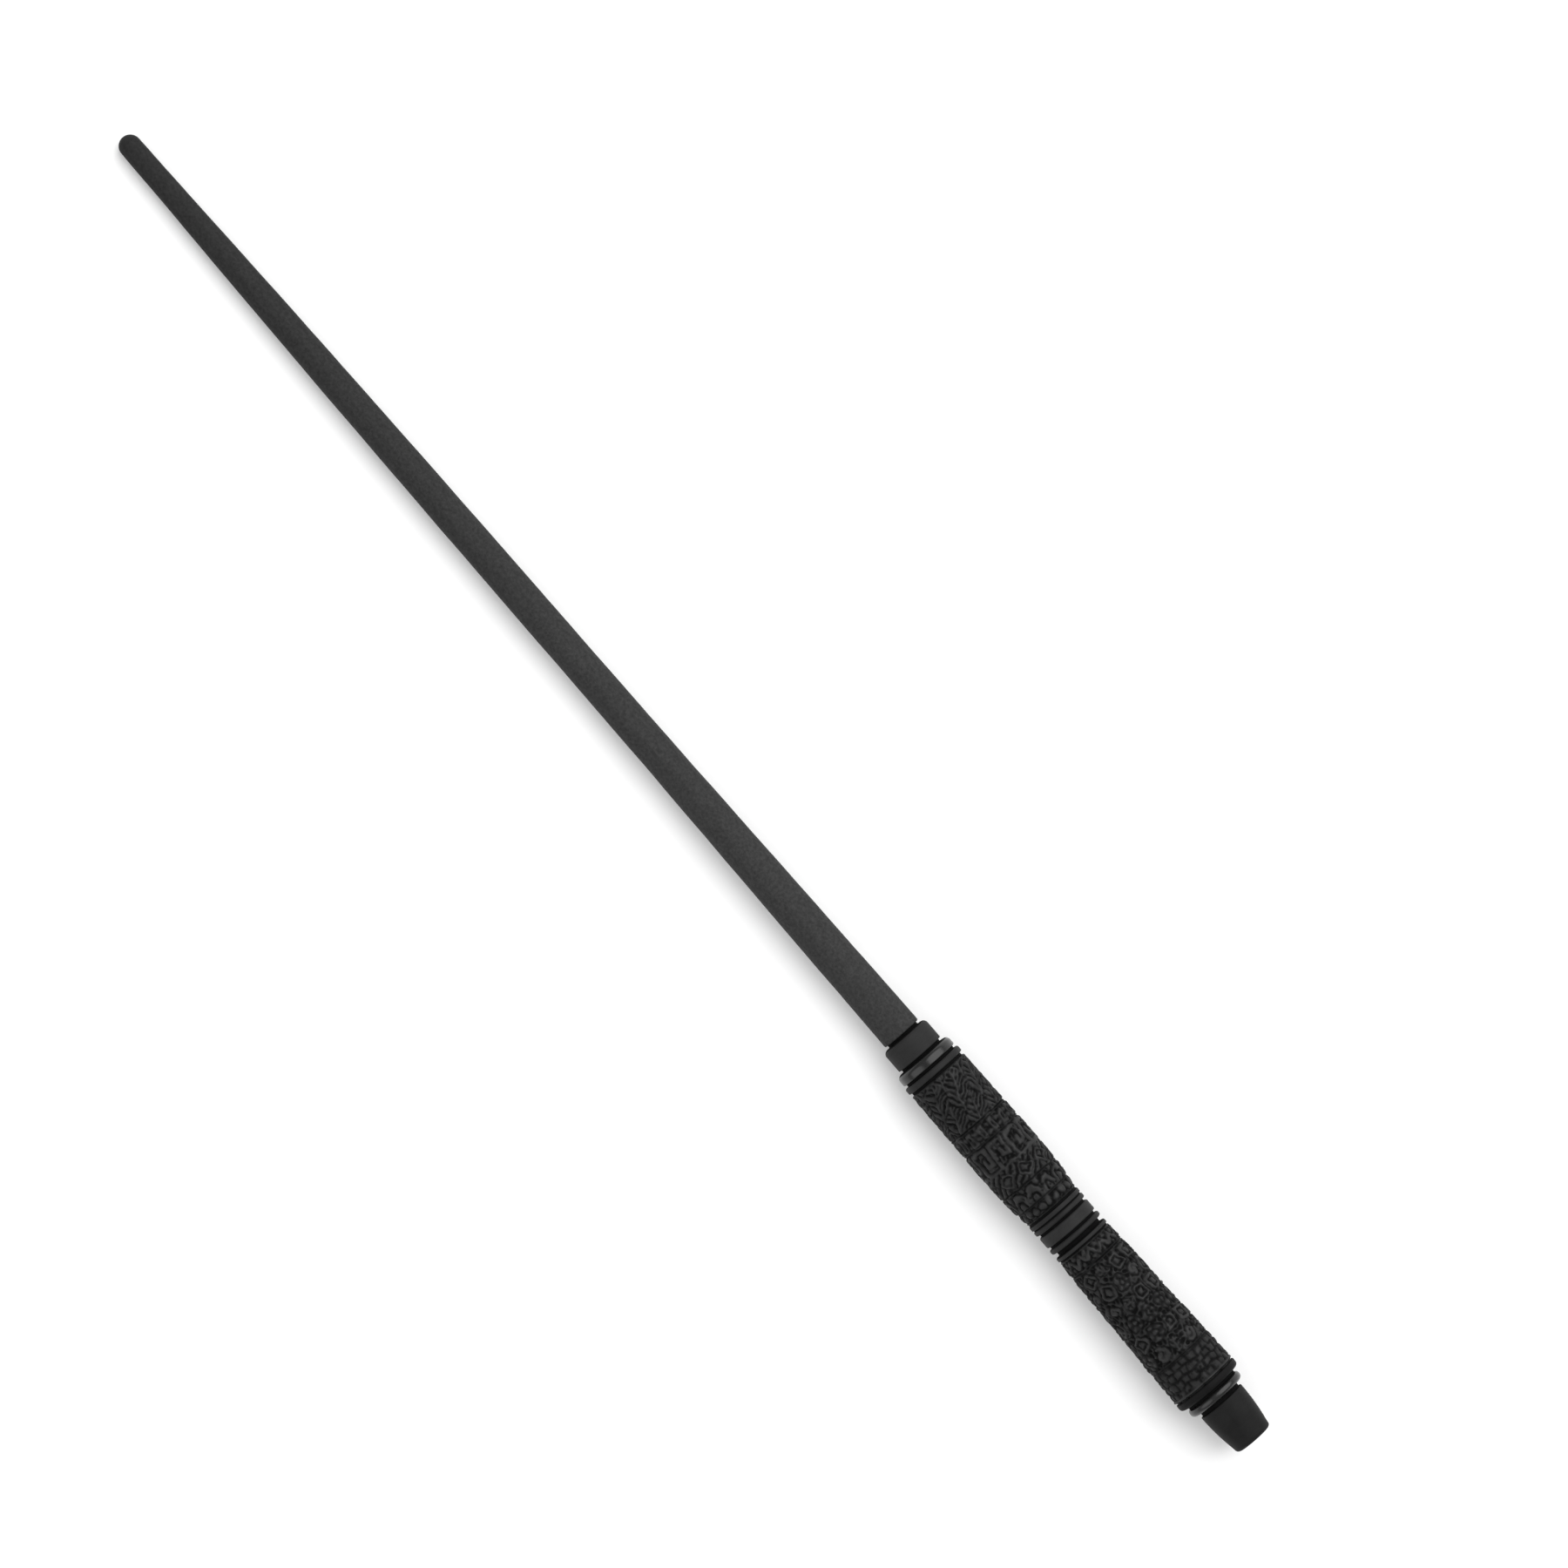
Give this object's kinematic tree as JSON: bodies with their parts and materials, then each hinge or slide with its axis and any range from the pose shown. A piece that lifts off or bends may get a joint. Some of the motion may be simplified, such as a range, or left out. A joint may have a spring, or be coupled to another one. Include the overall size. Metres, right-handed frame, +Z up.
{
  "type": "magic wand",
  "caption": "Tapered matt black wand with turned collar rings, relief-carved grips, a banded waist and a screw-on tapered pommel.",
  "frame": {"origin": "centre of the pommel's flat end face", "axes": "+X along the wand from the pommel to the tip, +Z up with the wand level"},
  "size_m": [0.35, 0.0152, 0.0152],
  "materials": {
    "shaft_black": "matt charcoal with a faint lengthwise grain",
    "carved_black": "satin black relief, darker in its recesses",
    "satin_black": "turned satin black",
    "gloss_black": "half-gloss black",
    "steel": "plain drawn steel",
    "brass": "turned brass"
  },
  "bodies": {
    "wand": {"core_rod": "steel", "shaft": "shaft_black", "collar": "satin_black", "collar_bead": "gloss_black", "front_ring": "satin_black", "upper_grip": "carved_black", "waist_ring_1": "satin_black", "waist_ring_2": "satin_black", "waist_band": "gloss_black", "waist_ring_3": "satin_black", "waist_ring_4": "satin_black", "lower_grip": "carved_black", "end_ring": "satin_black", "clamp_washer": "steel", "clamp_nut": "steel"},
    "bead": {"pommel_bead": "gloss_black"},
    "pommel": {"pommel": "satin_black", "pommel_insert": "brass"}
  },
  "joints": [
    {"name": "pommel_travel", "type": "slide", "parent": "wand", "child": "bead", "axis": [-1, 0, 0], "range_m": [0, 0.005]},
    {"name": "pommel_turn", "type": "hinge", "parent": "bead", "child": "pommel", "pos_m": [0, 0, 0], "axis": [-1, 0, 0], "range_deg": [0, 3600]}
  ],
  "couplings": [
    {"joint": "pommel_turn", "follows": "pommel_travel", "rad_per_m": 12566}
  ]
}
